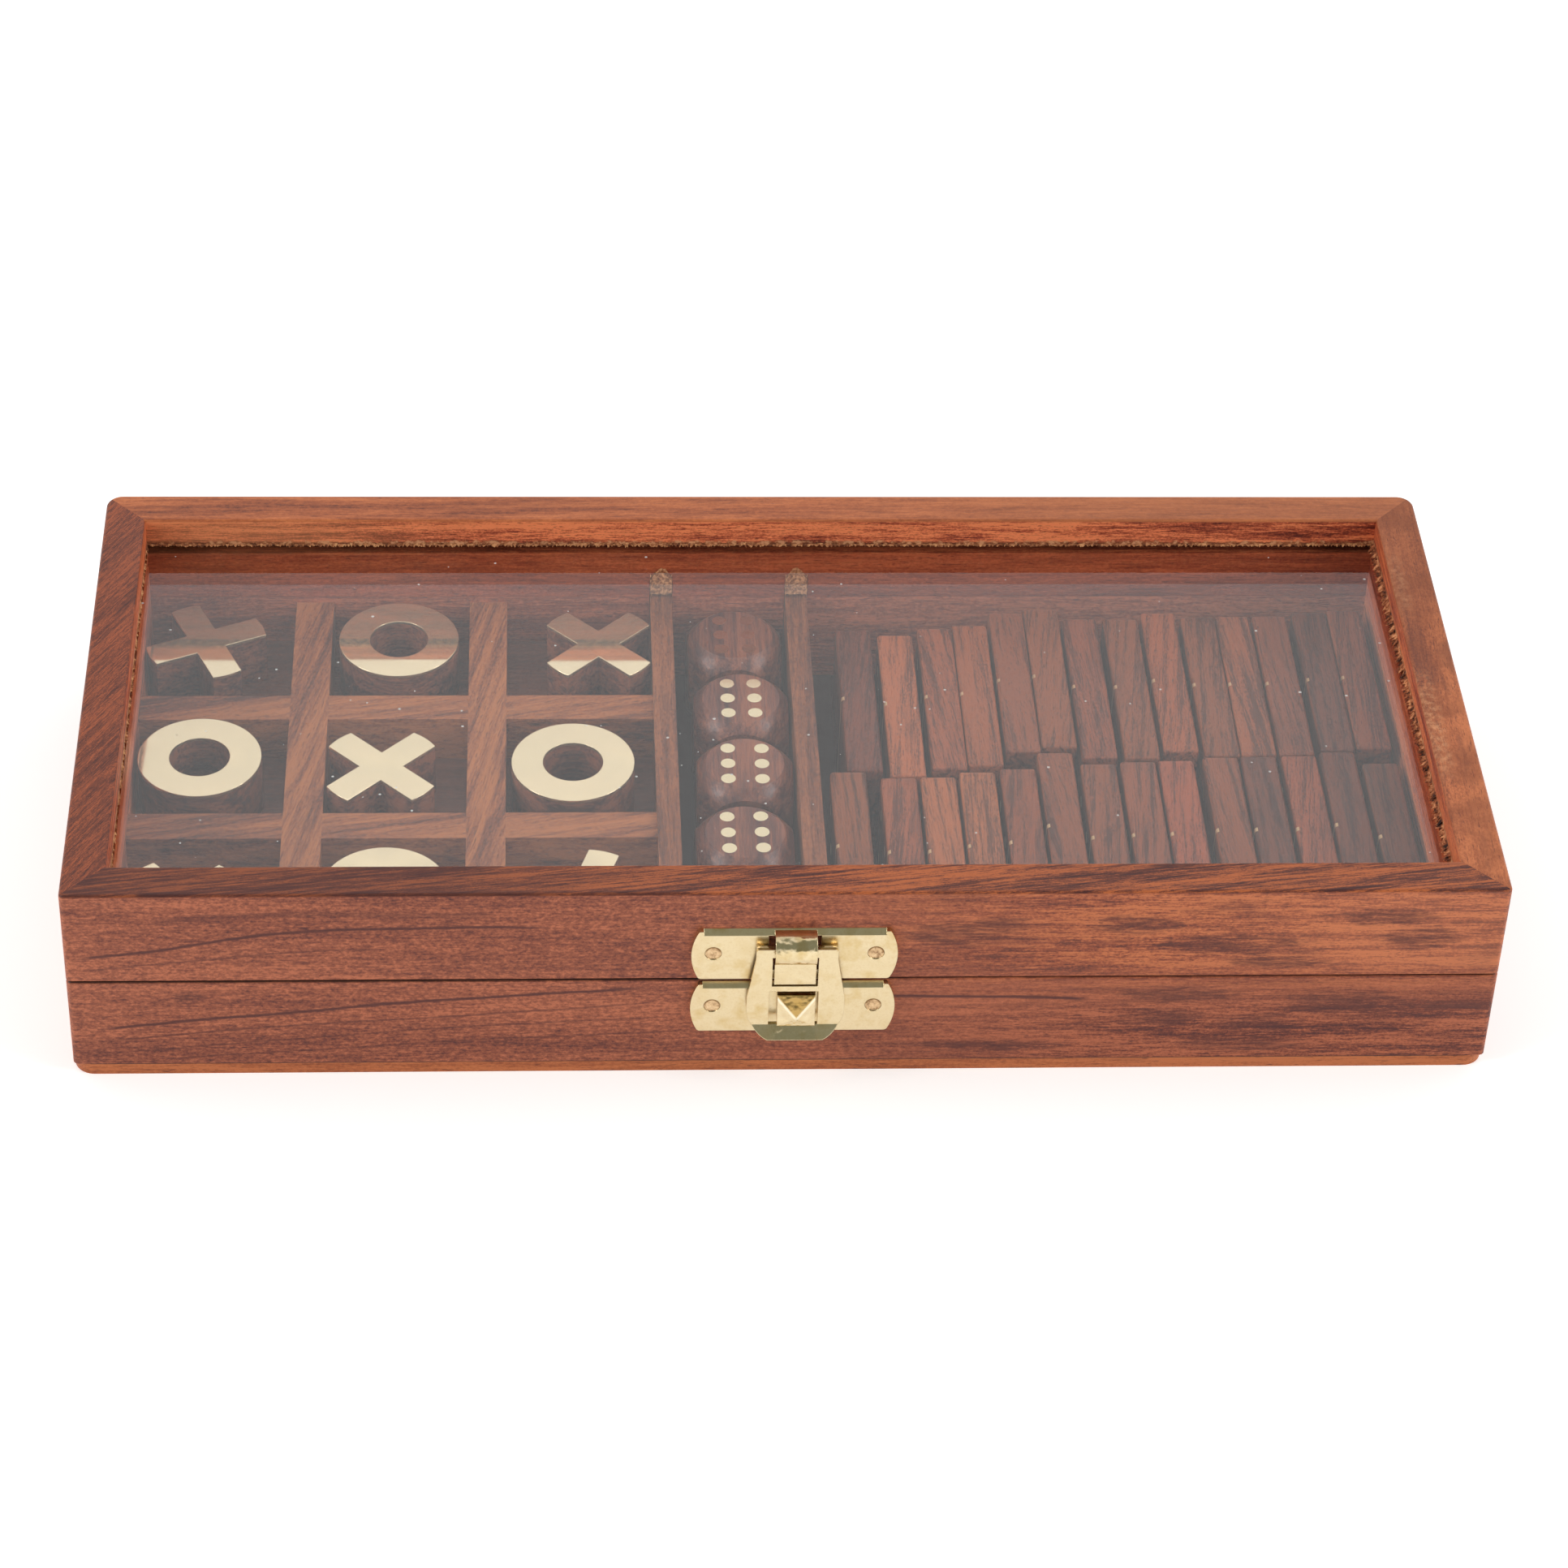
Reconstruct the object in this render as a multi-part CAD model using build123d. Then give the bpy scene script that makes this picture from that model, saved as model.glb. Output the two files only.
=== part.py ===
from build123d import *
import math
import os

# Games compendium box: a shallow mitred hardwood case with a hinged glazed lid, a brass
# catch, and three wells that hold noughts and crosses, five dice and 28 dominoes.
#
# Millimetres. Origin: centre of the underside. +X along the box to the right, +Y to the
# hinged back, +Z up. The lid is shut and the catch is fastened.

# ------------------------------------------------------------------ driving dimensions
# Case
wall_front = 6.4                    # rails, base and lid alike
wall_back = 6.6
wall_left = 6.2
wall_right = 6.5
bottom_thickness = 2.0
base_height = 17.5                  # underside to the rim of the base
seam_gap = 0.1                      # saw gap between the base and the lid
lid_height = 16.0
front_corner_radius = 0.8
back_corner_radius = 2.5
panel_corner_radius = 3.0
top_arris = 0.5
mitre_overrun = 1.15                # run of the mitring cuts from the inner corners, times the wall
rim_arris = 0.25

# Glass and the saw kerf that holds it
lip_height = 4.8                    # wood above the kerf
glass_thickness = 2.4
kerf_play = 0.4
kerf_depth = 2.1
glass_edge_play = 0.2

# Noughts and crosses well
cell_widths = (22.7, 21.2, 22.4)    # left to right
cell_depth_parts = (24.8, 22.2, 23.6)  # front to back, in proportion: the dice set the whole depth
strip_width = 5.8
strip_height = 7.6
strip_drop = 1.0                    # strip tops below the rim
mark_height = 8.8                   # wood and brass together
mark_brass = 0.5
nought_diameter = 18.4
nought_hole = 9.0
cross_span = 18.5                   # circle that the four arms end on
cross_arm = 4.6

# Dividers
divider_thickness = 3.4
divider_slot_depth = 2.0
divider_slot_rise = 4.9             # the slots run on up into the lid
slot_play = 0.1

# Dice
die_size = 14.5
die_ball = 18.7                     # the ball that rounds each cube off
dice_side_play = 3.3
dice_end_play = 9.7                 # over the whole row
die_pip = 2.2
die_pip_depth = 0.8
die_pip_row = 3.6

# Dominoes
domino_length = 34.6
domino_height = 16.0
domino_thickness = 5.4
domino_edge = 0.5
domino_row_play = 13.1
domino_pip = 1.8
domino_pip_pitch = 4.2
domino_bar = 0.8
inlay_depth = 0.5

# Catch on the front
catch_x = 0.7
catch_plate_length = 29.2
catch_plate_height = 8.8
catch_plate_bulge = 1.1             # how far each end bows out
catch_plate_stand = 0.9             # front of the plates ahead of the wood
catch_sheet = 0.55
catch_plate_bevel = 0.7
catch_plate_corner = 0.6
catch_lid_lift = 0.8                # lid plate above the lid's lower edge
catch_base_drop = 0.2               # base plate below the rim
catch_nail_spacing = 23.0
catch_nail_rise = 0.4               # nails above the middle of their plate
catch_window = 7.4
catch_window_top = 0.7              # metal left above the window
catch_window_height = 6.4
tongue_width = 5.9
tongue_shift = 0.1
tongue_sheet = 0.5
tongue_radius = 2.5
tongue_out = 1.3                    # centre of the curl, ahead of the wood
tongue_root_out = 0.1
tongue_rise = 6.3                   # centre of the curl, above the lid plate's lower edge
tongue_reach = 6.1                  # curl centre to the tongue's lower end
flap_bar_ahead = 0.85               # the flap's bar, ahead of the curl's centre
flap_bar_below = 0.3                # and below it
flap_sheet = 0.6
flap_bar = 1.5
flap_shift = 0.3
flap_top_width = 11.6
flap_width = 13.9
flap_neck = 1.3                     # straight sides below the pivot
flap_flare_end = 8.3                # full width reached, below the pivot
flap_slot_play = 0.3                # beside the tongue
flap_slot_end_play = 0.3            # below the tongue
flap_bridge = 1.0
flap_window = 7.0
flap_window_height = 6.2
flap_lip_out = 1.45
flap_lip_drop = 1.8
flap_corner = 4.6
flap_top_corner = 0.5
knob_width = 5.4
knob_shift = 0.4
knob_play = 0.3
knob_out = 3.9
knob_shoulder_out = 3.3
knob_brow_out = 2.6
knob_apex_rise = 2.0
knob_pocket = 1.5

# Nails
nail_head = 2.3
nail_head_depth = 0.35
nail_shank = 1.1
nail_length = 4.5
nail_recess = 0.15
nail_play = 0.05

# Hinges on the back
hinge_spacing = 120.0
hinge_length = 18.0
hinge_leaf_height = 8.0
hinge_leaf_sheet = 0.8
hinge_knuckle = 2.6                 # barrel diameter
hinge_stand_off = 0.3               # barrel to the wood
hinge_pin = 1.2
hinge_pin_play = 0.03
hinge_knuckle_gap = 0.15
hinge_leaf_gap = 0.2                # turning barrel to the other leaf
hinge_nail_spacing = 12.0

# Where the loose pieces lie, as shares of the room that they have to move in.
# Each mark, by column from the left: kind, turn in degrees, share from the left, share from the front.
marks_front_row = (("cross", 42, 0.12, 0.20), ("nought", 0, 0.14, 0.46), ("cross", 72, 0.61, 0.35))
marks_middle_row = (("nought", 0, 0.15, 0.68), ("cross", 45, 0.09, 0.25), ("nought", 0, 0.21, 0.32))
marks_back_row = (("cross", 24, 0.03, 0.57), ("nought", 0, 0.42, 0.64), ("cross", 45, 0.96, 0.44))
# Each die, from the back: share from the left, share of the row's room behind it, turn in degrees,
# distance between its two columns of pips.
dice_lie = (
    (0.69, 0.12, 1, 4.3),
    (0.85, 0.15, 0, 4.1),
    (0.86, 0.14, -1, 5.1),
    (0.69, 0.16, 1, 5.0),
    (0.56, 0.15, -2, 4.6),
)
# Each domino, from the left: percent of the row's play before it, percent of the play front to back
# that lies between it and its wall.
back_row_gaps = (31, 8, 7, 1, 4, 1, 4, 8, 5, 6, 1, 3, 8, 1)
back_row_setbacks = (70, 80, 67, 61, 36, 28, 48, 49, 37, 45, 44, 43, 36, 32)
front_row_gaps = (11, 16, 4, 4, 6, 4, 7, 5, 3, 11, 3, 6, 4, 6)
front_row_setbacks = (28, 17, 18, 27, 33, 62, 41, 45, 47, 53, 54, 55, 62, 41)
percent = 0.01

# ------------------------------------------------------------------ sizes that follow
dominoes_in_a_row = len(back_row_gaps)
grid_width = sum(cell_widths) + 2 * strip_width
dice_width = die_size + dice_side_play
domino_width = dominoes_in_a_row * domino_thickness + domino_row_play
inner_length = grid_width + dice_width + domino_width + 2 * divider_thickness
inner_depth = len(dice_lie) * die_size + dice_end_play
cell_depth_share = (inner_depth - 2 * strip_width) / sum(cell_depth_parts)
cell_depths = [part * cell_depth_share for part in cell_depth_parts]
box_length = inner_length + wall_left + wall_right
box_depth = inner_depth + wall_front + wall_back
lid_bottom = base_height + seam_gap
lid_top = lid_bottom + lid_height
kerf_top = lid_top - lip_height
kerf_bottom = kerf_top - glass_thickness - kerf_play
strip_top = base_height - strip_drop
grid_floor = strip_top - strip_height
front_y = -box_depth / 2
back_y = box_depth / 2
left_inside = wall_left - box_length / 2
right_inside = box_length / 2 - wall_right
front_inside = front_y + wall_front
back_inside = back_y - wall_back
wells_centre = ((left_inside + right_inside) / 2, (front_inside + back_inside) / 2)
divider_left_x = left_inside + grid_width
dice_left = divider_left_x + divider_thickness
divider_right_x = dice_left + dice_width
domino_left = divider_right_x + divider_thickness
hinge_axis_y = back_y + hinge_stand_off + hinge_knuckle / 2
hinge_axis_z = base_height + seam_gap / 2
lid_plate_z = lid_bottom + catch_lid_lift
base_plate_z = base_height - catch_base_drop - catch_plate_height
curl_z = lid_plate_z + tongue_rise
flap_axis_out = tongue_out + flap_bar_ahead
flap_axis_z = curl_z - flap_bar_below
flap_top = flap_axis_z + flap_bar / 2
slot_top = flap_axis_z - flap_bar / 2
slot_bottom = curl_z - tongue_reach - flap_slot_end_play
window_top = slot_bottom - flap_bridge
window_bottom = window_top - flap_window_height


# ------------------------------------------------------------------ helpers
def block(x0, x1, y0, y1, z0, z1):
    """A box between two corners."""
    middle = ((x0 + x1) / 2, (y0 + y1) / 2, (z0 + z1) / 2)
    return Pos(*middle) * Box(x1 - x0, y1 - y0, z1 - z0)


def facing_front(out):
    """A plane ahead of the front face: first axis along X, second along Z, normal outwards."""
    return Plane(origin=(0, front_y - out, 0), x_dir=(1, 0, 0), z_dir=(0, -1, 0))


def facing_back(out):
    """A plane behind the back face, normal outwards."""
    return Plane(origin=(0, back_y + out, 0), x_dir=(-1, 0, 0), z_dir=(0, 1, 0))


def from_side(profile, x0, x1):
    """Extrudes a profile drawn as (distance ahead of the front face, height) from x0 to x1."""
    plane = Plane(origin=(x1, front_y, 0), x_dir=(0, -1, 0), z_dir=(-1, 0, 0))
    return extrude(plane * profile, amount=x1 - x0)


def polyhedron(*outlines):
    """A solid from the outlines of its flat faces."""
    return Solid(Shell([Face(Wire.make_polygon(outline, close=True)) for outline in outlines]))


def pip_spots(count, across, along):
    """Centres of the pips of one face, as on any die."""
    spots = [(0, 0)] if count % 2 else []
    if count >= 2:
        spots += [(-across, -along), (across, along)]
    if count >= 4:
        spots += [(-across, along), (across, -along)]
    if count == 6:
        spots += [(-across, 0), (across, 0)]
    return spots


def save(name, *solids):
    """Writes one sub-part."""
    shape = solids[0] if len(solids) == 1 else Compound(children=list(solids))
    shape.label = name
    export_step(shape, os.path.join("parts", name + ".step"))


# ------------------------------------------------------------------ case
def ring(z0, z1):
    """The closed frame that four mitred rails make, between two heights."""
    outer = Rectangle(box_length, box_depth)
    outer = fillet(outer.vertices().group_by(Axis.Y)[-1], back_corner_radius)
    outer = fillet(outer.vertices().group_by(Axis.Y)[0], front_corner_radius)
    opening = Pos(*wells_centre) * Rectangle(inner_length, inner_depth)
    return extrude(Pos(0, 0, z0) * (outer - opening), amount=z1 - z0)


def rim_wires(frame, top):
    """The outer and the inner outline of a frame's top or bottom face."""
    face = frame.faces().filter_by(Axis.Z).sort_by(Axis.Z)[-1 if top else 0]
    return face.outer_wire().edges(), face.inner_wires()[0].edges()


def mitred(frame):
    """Cuts a frame into its four rails along mitres at 45 degrees through the inner corners."""
    bottom, height = frame.bounding_box().min.Z, frame.bounding_box().size.Z
    corners = (
        (left_inside, front_inside, -1, -1),
        (right_inside, front_inside, 1, -1),
        (right_inside, back_inside, 1, 1),
        (left_inside, back_inside, -1, 1),
    )
    run = mitre_overrun * max(wall_front, wall_back, wall_left, wall_right)
    outer = [(x + run * way_x, y + run * way_y) for x, y, way_x, way_y in corners]
    inner = [(x - run * way_x, y - run * way_y) for x, y, way_x, way_y in corners]
    rails = {}
    for n, side in enumerate(("front", "right", "back", "left")):
        after = (n + 1) % len(outer)
        wedge = Polygon(outer[n], outer[after], inner[after], inner[n], align=None)
        rails[side] = frame & extrude(Pos(0, 0, bottom) * wedge, amount=height)
    return rails


def divider_slots(z0, z1, rounded):
    """The grooves for the divider ends in the front and back rails, round-ended in the lid."""
    cut_width = divider_thickness + 2 * slot_play
    cut_depth = divider_slot_depth + slot_play
    cuts = []
    for left in (divider_left_x, divider_right_x):
        middle = left + divider_thickness / 2
        top = z1 - cut_width / 2 if rounded else z1
        outline = Pos(middle, (z0 + top) / 2) * Rectangle(cut_width, top - z0)
        if rounded:
            outline += Pos(middle, top) * Circle(cut_width / 2)
        for start in (front_inside - cut_depth, back_inside):
            plane = Plane(origin=(0, start, 0), x_dir=(1, 0, 0), z_dir=(0, -1, 0))
            cuts.append(extrude(plane * outline, amount=-cut_depth))
    return cuts


def make_base():
    """Bottom panel and the four mitred base walls, grooved for the dividers."""
    panel = Rectangle(box_length, box_depth)
    panel = fillet(panel.vertices(), panel_corner_radius)
    save("bottom_panel", extrude(panel, amount=bottom_thickness))
    frame = ring(bottom_thickness, base_height)
    outer, _ = rim_wires(frame, top=True)
    frame = chamfer(outer, rim_arris)
    for cut in divider_slots(bottom_thickness, base_height, rounded=False):
        frame -= cut
    frame -= nail_shanks(base_nail_places())
    for side, rail in mitred(frame).items():
        save(f"base_{side}_wall", rail)


def make_lid():
    """The four mitred lid rails, with the kerf for the glass, and the pane in it."""
    frame = ring(lid_bottom, lid_top)
    outer, _ = rim_wires(frame, top=False)
    frame = chamfer(outer, rim_arris)
    outer, inner = rim_wires(frame, top=True)
    frame = fillet(outer + inner, top_arris)
    kerf = Box(inner_length + 2 * kerf_depth, inner_depth + 2 * kerf_depth, kerf_top - kerf_bottom)
    frame -= Pos(*wells_centre, (kerf_bottom + kerf_top) / 2) * kerf
    for cut in divider_slots(lid_bottom, lid_bottom + divider_slot_rise, rounded=True):
        frame -= cut
    frame -= nail_shanks(lid_nail_places())
    for side, rail in mitred(frame).items():
        save(f"lid_{side}_rail", rail)
    bite = 2 * (kerf_depth - glass_edge_play)
    pane = Box(inner_length + bite, inner_depth + bite, glass_thickness)
    save("glass_pane", Pos(*wells_centre, kerf_bottom + glass_thickness / 2) * pane)


def make_dividers():
    """The two walls between the wells, housed in the front and back rails."""
    ends = (front_inside - divider_slot_depth, back_inside + divider_slot_depth)
    for name, left in (("left", divider_left_x), ("right", divider_right_x)):
        board = block(left, left + divider_thickness, *ends, bottom_thickness, base_height)
        save(f"divider_{name}", board)


# ------------------------------------------------------------------ noughts and crosses
def cell_starts(first, sizes):
    """Low edges of the cells along one direction."""
    return [first + sum(sizes[:n]) + n * strip_width for n in range(len(sizes))]


def make_grid():
    """Raised floor and the four half-lapped strips: the ones that run front to back lie on top."""
    grid_right = left_inside + grid_width
    board = block(left_inside, grid_right, front_inside, back_inside, bottom_thickness, grid_floor)
    save("grid_floor_board", board)
    rails_x = [start - strip_width for start in cell_starts(left_inside, cell_widths)[1:]]
    crosses_y = [start - strip_width for start in cell_starts(front_inside, cell_depths)[1:]]
    lap = grid_floor + strip_height / 2
    for name, x in zip(("left", "right"), rails_x):
        rail = block(x, x + strip_width, front_inside, back_inside, grid_floor, strip_top)
        for y in crosses_y:
            rail -= block(x, x + strip_width, y, y + strip_width, grid_floor, lap)
        save(f"grid_rail_{name}", rail)
    for name, y in zip(("front", "back"), crosses_y):
        cross = block(left_inside, grid_right, y, y + strip_width, grid_floor, strip_top)
        for x in rails_x:
            cross -= block(x, x + strip_width, y, y + strip_width, lap, strip_top)
        save(f"grid_cross_{name}", cross)


def cross_outline():
    """Two bars at right angles, ended on a circle."""
    bars = Rectangle(cross_span, cross_arm) + Rectangle(cross_arm, cross_span)
    return bars & Circle(cross_span / 2)


def nought_outline():
    """A flat ring."""
    return Circle(nought_diameter / 2) - Circle(nought_hole / 2)


def make_marks():
    """Nine playing pieces, each a wooden body with a brass face, lying loose in their cells."""
    outlines = {"cross": cross_outline(), "nought": nought_outline()}
    count = {"cross": 0, "nought": 0}
    columns = cell_starts(left_inside, cell_widths)
    rows = cell_starts(front_inside, cell_depths)
    places = zip(rows, cell_depths, (marks_front_row, marks_middle_row, marks_back_row))
    for y, depth, row in reversed(list(places)):
        for x, width, (kind, turn, share_x, share_y) in zip(columns, cell_widths, row):
            count[kind] += 1
            outline = Rot(0, 0, turn) * outlines[kind]
            size = outline.bounding_box().size
            middle_x = x + size.X / 2 + share_x * (width - size.X)
            middle_y = y + size.Y / 2 + share_y * (depth - size.Y)
            brass_bottom = grid_floor + mark_height - mark_brass
            body = extrude(Pos(middle_x, middle_y, grid_floor) * outline, amount=mark_height - mark_brass)
            face = extrude(Pos(middle_x, middle_y, brass_bottom) * outline, amount=mark_brass)
            save(f"{kind}_{count[kind]}_body", body)
            save(f"{kind}_{count[kind]}_face", face)


# ------------------------------------------------------------------ dice
def die_pips(columns):
    """The 21 inlaid pips of a die centred on the origin, six on top and one beneath."""
    half, across = die_size / 2, columns / 2
    pips = []
    for count, turn in (
        (6, Rot(0, 0, 0)),
        (1, Rot(180, 0, 0)),
        (5, Rot(90, 0, 0)),
        (2, Rot(-90, 0, 0)),
        (3, Rot(0, -90, 0)),
        (4, Rot(0, 90, 0)),
    ):
        for u, v in pip_spots(count, across, die_pip_row):
            pip = Cylinder(die_pip / 2, die_pip_depth, align=(Align.CENTER, Align.CENTER, Align.MAX))
            pips.append(turn * Pos(u, v, half) * pip)
    return pips


def make_dice():
    """Five tumbled dice in a line from the back, each a cube rounded off by a ball."""
    blank = Box(die_size, die_size, die_size) & Sphere(die_ball / 2)
    back = back_inside
    for number, (share_x, share_behind, turn, columns) in enumerate(dice_lie, start=1):
        back -= share_behind * dice_end_play
        middle_x = dice_left + die_size / 2 + share_x * dice_side_play
        place = Pos(middle_x, back - die_size / 2, bottom_thickness + die_size / 2) * Rot(0, 0, turn)
        back -= die_size
        pips = die_pips(columns)
        body = blank
        for pip in pips:
            body -= pip
        save(f"die_{number}", place * body)
        save(f"die_{number}_pips", *[place * pip for pip in pips])


# ------------------------------------------------------------------ dominoes
def domino_faces():
    """All 28 pairs of a double-six set, dealt out of order."""
    pairs = [(low, high) for low in range(7) for high in range(low, 7)]
    return [pairs[(5 * n) % len(pairs)] for n in range(len(pairs))]


def domino_blank():
    """One domino on its long edge, its marked face to the left, its corner at the origin."""
    tile = block(0, domino_thickness, 0, domino_length, 0, domino_height)
    return fillet(tile.edges(), domino_edge)


def domino_inlay(pair):
    """Brass bar and pips of one domino face, still unplaced."""
    middle_y, middle_z = domino_length / 2, domino_height / 2
    bar = (middle_y - domino_bar / 2, middle_y + domino_bar / 2)
    inlay = [block(0, inlay_depth, *bar, 0, domino_height)]
    for count, side in zip(pair, (-1, 1)):
        for along, up in pip_spots(count, domino_pip_pitch, domino_pip_pitch):
            spot = Pos(0, middle_y + side * domino_length / 4 + along, middle_z + up)
            pip = Cylinder(domino_pip / 2, inlay_depth, align=(Align.CENTER, Align.CENTER, Align.MIN))
            inlay.append(spot * Rot(0, 90, 0) * pip)
    return inlay


def make_dominoes():
    """Two rows of fourteen, standing on edge, pushed about a little as they lie in the box."""
    blank = domino_blank()
    faces = domino_faces()
    depth_play = inner_depth - 2 * domino_length
    rows = {
        "back": (back_row_gaps, back_row_setbacks, faces[:dominoes_in_a_row]),
        "front": (front_row_gaps, front_row_setbacks, faces[dominoes_in_a_row:]),
    }
    for row, (gaps, setbacks, pairs) in rows.items():
        tiles, inlays, x = [], [], domino_left
        for gap, setback, pair in zip(gaps, setbacks, pairs):
            x += gap * percent * domino_row_play
            shift = setback * percent * depth_play
            y = back_inside - shift - domino_length if row == "back" else front_inside + shift
            place = Pos(x, y, bottom_thickness)
            x += domino_thickness
            tile = blank
            for piece in domino_inlay(pair):
                inlays.append(place * (piece & blank))
                tile -= piece
            tiles.append(place * tile)
        save(f"dominoes_{row}_row", *tiles)
        save(f"dominoes_{row}_inlays", *inlays)


# ------------------------------------------------------------------ nails
def front_nail_places(z):
    """Where the two nails of a catch plate go in: point on the plate, direction into the wood."""
    middle = z + catch_plate_height / 2 + catch_nail_rise
    out = catch_plate_stand - nail_recess
    xs = (catch_x - catch_nail_spacing / 2, catch_x + catch_nail_spacing / 2)
    return [facing_front(out) * Pos(x, middle) for x in xs]


def hinge_nail_places(upper):
    """Where the nails of the two hinges go in, on the lid leaves or on the base leaves."""
    rise = hinge_leaf_gap + hinge_knuckle / 2 + (hinge_leaf_height - hinge_knuckle / 2) / 2
    z = hinge_axis_z + rise if upper else hinge_axis_z - rise
    out = hinge_leaf_sheet
    xs = [side * hinge_spacing / 2 + end * hinge_nail_spacing / 2 for side in (-1, 1) for end in (-1, 1)]
    return [facing_back(out) * Pos(x, z) for x in xs]


def base_nail_places():
    """All nails that go into the base."""
    return front_nail_places(base_plate_z) + hinge_nail_places(upper=False)


def lid_nail_places():
    """All nails that go into the lid."""
    return front_nail_places(lid_plate_z) + hinge_nail_places(upper=True)


def nail():
    """A small nail, head up at the origin: shank below it, head under the plate's face."""
    bottom_up = (Align.CENTER, Align.CENTER, Align.MAX)
    head = Cone(nail_shank / 2, nail_head / 2, nail_head_depth, align=bottom_up)
    return head + Cylinder(nail_shank / 2, nail_length, align=bottom_up)


def nail_shanks(places):
    """The holes that the shanks fill."""
    bottom_up = (Align.CENTER, Align.CENTER, Align.MAX)
    return Compound(children=[p * Cylinder(nail_shank / 2, nail_length, align=bottom_up) for p in places])


def nail_seats(places):
    """The dished holes in a plate, clear of the nails by their play."""
    dish = Cone(
        nail_shank / 2 + nail_play,
        nail_head / 2 + nail_play,
        nail_head_depth,
        align=(Align.CENTER, Align.CENTER, Align.MAX),
    )
    bore = Cylinder(nail_shank / 2 + nail_play, nail_length)
    mouth = Cylinder(nail_head / 2 + nail_play, nail_length, align=(Align.CENTER, Align.CENTER, Align.MIN))
    return Compound(children=[p * (dish + bore + mouth) for p in places])


def make_nails():
    """The nails, in four sets."""
    save("catch_base_nails", *[place * nail() for place in front_nail_places(base_plate_z)])
    save("catch_lid_nails", *[place * nail() for place in front_nail_places(lid_plate_z)])
    save("hinge_base_nails", *[place * nail() for place in hinge_nail_places(upper=False)])
    save("hinge_lid_nails", *[place * nail() for place in hinge_nail_places(upper=True)])


# ------------------------------------------------------------------ catch
def catch_plate(z):
    """A stamped plate with bowed ends and a bevelled top edge, hollow behind, at one height."""
    straight = catch_plate_length / 2 - catch_plate_bulge
    low, high = -catch_plate_height / 2, catch_plate_height / 2
    outline = make_face(
        Line((-straight, low), (straight, low))
        + ThreePointArc((straight, low), (straight + catch_plate_bulge, 0), (straight, high))
        + Line((straight, high), (-straight, high))
        + ThreePointArc((-straight, high), (-straight - catch_plate_bulge, 0), (-straight, low))
    )
    outline = fillet(outline.vertices(), catch_plate_corner)
    middle = Pos(catch_x, z + catch_plate_height / 2)
    prism = extrude(facing_front(0) * middle * outline, amount=catch_plate_stand)
    top, stand, sheet = z + catch_plate_height, catch_plate_stand, catch_sheet
    bevel = Polygon((0, top), (stand, top - catch_plate_bevel), (stand, top), align=None)
    chamfered = straight - catch_plate_corner
    prism -= from_side(bevel, catch_x - chamfered, catch_x + chamfered)
    inner_top = top - catch_plate_bevel - sheet / 2
    inside = Pos((stand - sheet) / 2, (z + sheet + inner_top) / 2)
    inside *= Rectangle(stand - sheet, inner_top - z - sheet)
    hollow_reach = straight - sheet
    return prism - from_side(inside, catch_x - hollow_reach, catch_x + hollow_reach)


def make_catch_lid_plate():
    """Upper plate: its middle is punched out into a tongue that curls over the flap's bar."""
    top = lid_plate_z + catch_plate_height
    plate = catch_plate(lid_plate_z)
    half = catch_window / 2
    window_high = top - catch_window_top
    window_low = window_high - catch_window_height
    stand = (front_y - catch_plate_stand, front_y)
    plate -= block(catch_x - half, catch_x + half, *stand, window_low, window_high)
    curl = Pos(tongue_out, curl_z) * (Circle(tongue_radius) - Circle(tongue_radius - tongue_sheet))
    flat_out = flap_axis_out - tongue_sheet / 2
    reach = 2 * tongue_radius
    behind = Pos(tongue_root_out - reach / 2, curl_z) * Rectangle(reach, 2 * reach)
    below = Pos(flat_out - reach / 2, curl_z - reach / 2) * Rectangle(reach, reach)
    drop = math.sqrt((tongue_radius - tongue_sheet / 2) ** 2 - flap_bar_ahead**2)
    flat_length = tongue_reach - drop
    flat = Pos(flap_axis_out, curl_z - drop - flat_length / 2) * Rectangle(tongue_sheet, flat_length)
    x = catch_x + tongue_shift
    tongue = from_side(curl - behind - below + flat, x - tongue_width / 2, x + tongue_width / 2)
    plate += tongue
    plate -= nail_seats(front_nail_places(lid_plate_z))
    save("catch_lid_plate", plate)


def make_catch_flap():
    """The swinging flap: bar at the top, slot for the tongue, window for the knob, finger lip."""
    inner, outer = flap_axis_out - flap_sheet / 2, flap_axis_out + flap_sheet / 2
    low = window_bottom - flap_lip_drop - flap_sheet / 2
    side = Polygon(
        (inner, window_bottom - flap_sheet / 2),
        (outer, window_bottom),
        (outer, flap_top),
        (inner, flap_top),
        align=None,
    )
    side += Polygon(
        (inner, window_bottom - flap_sheet / 2),
        (outer + flap_lip_out - flap_sheet / 2, low),
        (outer + flap_lip_out, low + flap_sheet / 2),
        (outer, window_bottom),
        align=None,
    )
    half_top, half = flap_top_width / 2, flap_width / 2
    neck, flare = flap_axis_z - flap_neck, flap_axis_z - flap_flare_end
    outline = Polygon(
        (-half_top, flap_top),
        (-half_top, neck),
        (-half, flare),
        (-half, low),
        (half, low),
        (half, flare),
        (half_top, neck),
        (half_top, flap_top),
        align=None,
    )
    outline = fillet(outline.vertices().group_by(Axis.Y)[-1], flap_top_corner)
    outline = fillet(outline.vertices().group_by(Axis.Y)[0], flap_corner)
    slot_width = tongue_width + 2 * flap_slot_play
    slot_x = tongue_shift - flap_shift
    outline -= Pos(slot_x, (slot_top + slot_bottom) / 2) * Rectangle(slot_width, slot_top - slot_bottom)
    outline -= Pos(-flap_shift, (window_top + window_bottom) / 2) * Rectangle(flap_window, flap_window_height)
    reach = outer + flap_lip_out
    prism = extrude(facing_front(0) * Pos(catch_x + flap_shift, 0) * outline, amount=reach)
    x = catch_x + flap_shift
    save("catch_flap", prism & from_side(side, x - half, x + half))


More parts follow.
